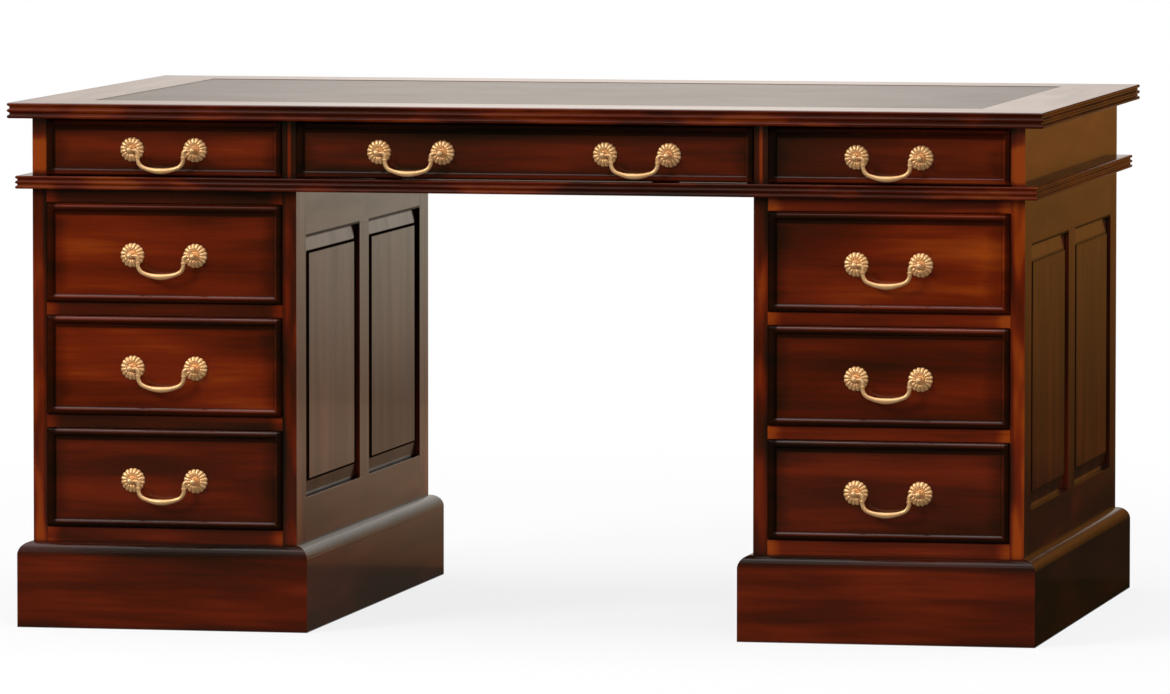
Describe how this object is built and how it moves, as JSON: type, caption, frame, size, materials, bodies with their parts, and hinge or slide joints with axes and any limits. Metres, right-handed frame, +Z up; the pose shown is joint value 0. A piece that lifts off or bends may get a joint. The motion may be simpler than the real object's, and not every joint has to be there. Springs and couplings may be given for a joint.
{
  "type": "partners desk",
  "caption": "Mahogany partners desk on drawer pedestals, with leather writing inset, shallow frieze drawers, rear cupboards, reeded edges and brass swan-neck handles.",
  "frame": {"origin": "on the floor under the middle of the desk", "axes": "+X to the right along the nine-drawer side, +Y towards the partner's side, +Z up"},
  "size_m": [1.6, 1, 0.805],
  "materials": {
    "mahogany": "dark red-brown mahogany under gloss lacquer, darker at the edges",
    "brass": "satin lacquered brass",
    "leather": "dark brown hide with a soft sheen"
  },
  "bodies": {
    "desk_carcase": {"desktop_border": "mahogany", "desktop_core": "mahogany", "leather_inset": "leather", "frieze_boards": "mahogany", "frieze_rails": "mahogany", "dowels": "mahogany", "waist_moulding": "mahogany", "cupboard_hinge_leaves": "brass", "left_pedestal_side_frames": "mahogany", "left_pedestal_side_panels": "mahogany", "left_pedestal_rails_and_runners": "mahogany", "left_pedestal_inner_boards": "mahogany", "left_pedestal_plinth": "mahogany", "right_pedestal_side_frames": "mahogany", "right_pedestal_side_panels": "mahogany", "right_pedestal_rails_and_runners": "mahogany", "right_pedestal_inner_boards": "mahogany", "right_pedestal_plinth": "mahogany"},
    "front_frieze_left_drawer": {"front_frieze_left_drawer": "mahogany", "front_frieze_left_rosettes": "brass"},
    "front_frieze_left_bail": {"front_frieze_left_bail": "brass"},
    "front_frieze_centre_drawer": {"front_frieze_centre_drawer": "mahogany", "front_frieze_centre_rosettes": "brass"},
    "front_frieze_centre_bail_left": {"front_frieze_centre_bail_left": "brass"},
    "front_frieze_centre_bail_right": {"front_frieze_centre_bail_right": "brass"},
    "front_frieze_right_drawer": {"front_frieze_right_drawer": "mahogany", "front_frieze_right_rosettes": "brass"},
    "front_frieze_right_bail": {"front_frieze_right_bail": "brass"},
    "rear_frieze_left_drawer": {"rear_frieze_left_drawer": "mahogany", "rear_frieze_left_rosettes": "brass"},
    "rear_frieze_left_bail": {"rear_frieze_left_bail": "brass"},
    "rear_frieze_centre_drawer": {"rear_frieze_centre_drawer": "mahogany", "rear_frieze_centre_rosettes": "brass"},
    "rear_frieze_centre_bail_left": {"rear_frieze_centre_bail_left": "brass"},
    "rear_frieze_centre_bail_right": {"rear_frieze_centre_bail_right": "brass"},
    "rear_frieze_right_drawer": {"rear_frieze_right_drawer": "mahogany", "rear_frieze_right_rosettes": "brass"},
    "rear_frieze_right_bail": {"rear_frieze_right_bail": "brass"},
    "left_top_drawer": {"left_top_drawer": "mahogany", "left_top_rosettes": "brass"},
    "left_top_bail": {"left_top_bail": "brass"},
    "left_middle_drawer": {"left_middle_drawer": "mahogany", "left_middle_rosettes": "brass"},
    "left_middle_bail": {"left_middle_bail": "brass"},
    "left_bottom_drawer": {"left_bottom_drawer": "mahogany", "left_bottom_rosettes": "brass"},
    "left_bottom_bail": {"left_bottom_bail": "brass"},
    "right_top_drawer": {"right_top_drawer": "mahogany", "right_top_rosettes": "brass"},
    "right_top_bail": {"right_top_bail": "brass"},
    "right_middle_drawer": {"right_middle_drawer": "mahogany", "right_middle_rosettes": "brass"},
    "right_middle_bail": {"right_middle_bail": "brass"},
    "right_bottom_drawer": {"right_bottom_drawer": "mahogany", "right_bottom_rosettes": "brass"},
    "right_bottom_bail": {"right_bottom_bail": "brass"},
    "left_cupboard_door": {"left_cupboard_door": "mahogany", "left_cupboard_door_fittings": "brass"},
    "right_cupboard_door": {"right_cupboard_door": "mahogany", "right_cupboard_door_fittings": "brass"}
  },
  "joints": [
    {"name": "front_frieze_left_drawer_slide", "type": "slide", "parent": "desk_carcase", "child": "front_frieze_left_drawer", "axis": [0, -1, 0], "range_m": [0, 0.33]},
    {"name": "front_frieze_left_bail_pivot", "type": "hinge", "parent": "front_frieze_left_drawer", "child": "front_frieze_left_bail", "pos_m": [-0.561, -0.491, 0.734], "axis": [-1, 0, 0], "range_deg": [-15, 150]},
    {"name": "front_frieze_centre_drawer_slide", "type": "slide", "parent": "desk_carcase", "child": "front_frieze_centre_drawer", "axis": [0, -1, 0], "range_m": [0, 0.33]},
    {"name": "front_frieze_centre_bail_left_pivot", "type": "hinge", "parent": "front_frieze_centre_drawer", "child": "front_frieze_centre_bail_left", "pos_m": [-0.175, -0.491, 0.734], "axis": [-1, 0, 0], "range_deg": [-15, 150]},
    {"name": "front_frieze_centre_bail_right_pivot", "type": "hinge", "parent": "front_frieze_centre_drawer", "child": "front_frieze_centre_bail_right", "pos_m": [0.175, -0.491, 0.734], "axis": [-1, 0, 0], "range_deg": [-15, 150]},
    {"name": "front_frieze_right_drawer_slide", "type": "slide", "parent": "desk_carcase", "child": "front_frieze_right_drawer", "axis": [0, -1, 0], "range_m": [0, 0.33]},
    {"name": "front_frieze_right_bail_pivot", "type": "hinge", "parent": "front_frieze_right_drawer", "child": "front_frieze_right_bail", "pos_m": [0.561, -0.491, 0.734], "axis": [-1, 0, 0], "range_deg": [-15, 150]},
    {"name": "rear_frieze_left_drawer_slide", "type": "slide", "parent": "desk_carcase", "child": "rear_frieze_left_drawer", "axis": [0, 1, 0], "range_m": [0, 0.33]},
    {"name": "rear_frieze_left_bail_pivot", "type": "hinge", "parent": "rear_frieze_left_drawer", "child": "rear_frieze_left_bail", "pos_m": [-0.561, 0.491, 0.734], "axis": [1, 0, 0], "range_deg": [-15, 150]},
    {"name": "rear_frieze_centre_drawer_slide", "type": "slide", "parent": "desk_carcase", "child": "rear_frieze_centre_drawer", "axis": [0, 1, 0], "range_m": [0, 0.33]},
    {"name": "rear_frieze_centre_bail_left_pivot", "type": "hinge", "parent": "rear_frieze_centre_drawer", "child": "rear_frieze_centre_bail_left", "pos_m": [0.175, 0.491, 0.734], "axis": [1, 0, 0], "range_deg": [-15, 150]},
    {"name": "rear_frieze_centre_bail_right_pivot", "type": "hinge", "parent": "rear_frieze_centre_drawer", "child": "rear_frieze_centre_bail_right", "pos_m": [-0.175, 0.491, 0.734], "axis": [1, 0, 0], "range_deg": [-15, 150]},
    {"name": "rear_frieze_right_drawer_slide", "type": "slide", "parent": "desk_carcase", "child": "rear_frieze_right_drawer", "axis": [0, 1, 0], "range_m": [0, 0.33]},
    {"name": "rear_frieze_right_bail_pivot", "type": "hinge", "parent": "rear_frieze_right_drawer", "child": "rear_frieze_right_bail", "pos_m": [0.561, 0.491, 0.734], "axis": [1, 0, 0], "range_deg": [-15, 150]},
    {"name": "left_top_drawer_slide", "type": "slide", "parent": "desk_carcase", "child": "left_top_drawer", "axis": [0, -1, 0], "range_m": [0, 0.36]},
    {"name": "left_top_bail_pivot", "type": "hinge", "parent": "left_top_drawer", "child": "left_top_bail", "pos_m": [-0.561, -0.491, 0.5725], "axis": [-1, 0, 0], "range_deg": [-15, 150]},
    {"name": "left_middle_drawer_slide", "type": "slide", "parent": "desk_carcase", "child": "left_middle_drawer", "axis": [0, -1, 0], "range_m": [0, 0.36]},
    {"name": "left_middle_bail_pivot", "type": "hinge", "parent": "left_middle_drawer", "child": "left_middle_bail", "pos_m": [-0.561, -0.491, 0.4], "axis": [-1, 0, 0], "range_deg": [-15, 150]},
    {"name": "left_bottom_drawer_slide", "type": "slide", "parent": "desk_carcase", "child": "left_bottom_drawer", "axis": [0, -1, 0], "range_m": [0, 0.36]},
    {"name": "left_bottom_bail_pivot", "type": "hinge", "parent": "left_bottom_drawer", "child": "left_bottom_bail", "pos_m": [-0.561, -0.491, 0.2275], "axis": [-1, 0, 0], "range_deg": [-15, 150]},
    {"name": "right_top_drawer_slide", "type": "slide", "parent": "desk_carcase", "child": "right_top_drawer", "axis": [0, -1, 0], "range_m": [0, 0.36]},
    {"name": "right_top_bail_pivot", "type": "hinge", "parent": "right_top_drawer", "child": "right_top_bail", "pos_m": [0.561, -0.491, 0.5725], "axis": [-1, 0, 0], "range_deg": [-15, 150]},
    {"name": "right_middle_drawer_slide", "type": "slide", "parent": "desk_carcase", "child": "right_middle_drawer", "axis": [0, -1, 0], "range_m": [0, 0.36]},
    {"name": "right_middle_bail_pivot", "type": "hinge", "parent": "right_middle_drawer", "child": "right_middle_bail", "pos_m": [0.561, -0.491, 0.4], "axis": [-1, 0, 0], "range_deg": [-15, 150]},
    {"name": "right_bottom_drawer_slide", "type": "slide", "parent": "desk_carcase", "child": "right_bottom_drawer", "axis": [0, -1, 0], "range_m": [0, 0.36]},
    {"name": "right_bottom_bail_pivot", "type": "hinge", "parent": "right_bottom_drawer", "child": "right_bottom_bail", "pos_m": [0.561, -0.491, 0.2275], "axis": [-1, 0, 0], "range_deg": [-15, 150]},
    {"name": "left_cupboard_door_hinge", "type": "hinge", "parent": "desk_carcase", "child": "left_cupboard_door", "pos_m": [-0.74525, 0.4718, 0.403], "axis": [0, 0, 1], "range_deg": [0, 170]},
    {"name": "right_cupboard_door_hinge", "type": "hinge", "parent": "desk_carcase", "child": "right_cupboard_door", "pos_m": [0.74525, 0.4718, 0.403], "axis": [0, 0, -1], "range_deg": [0, 170]}
  ]
}
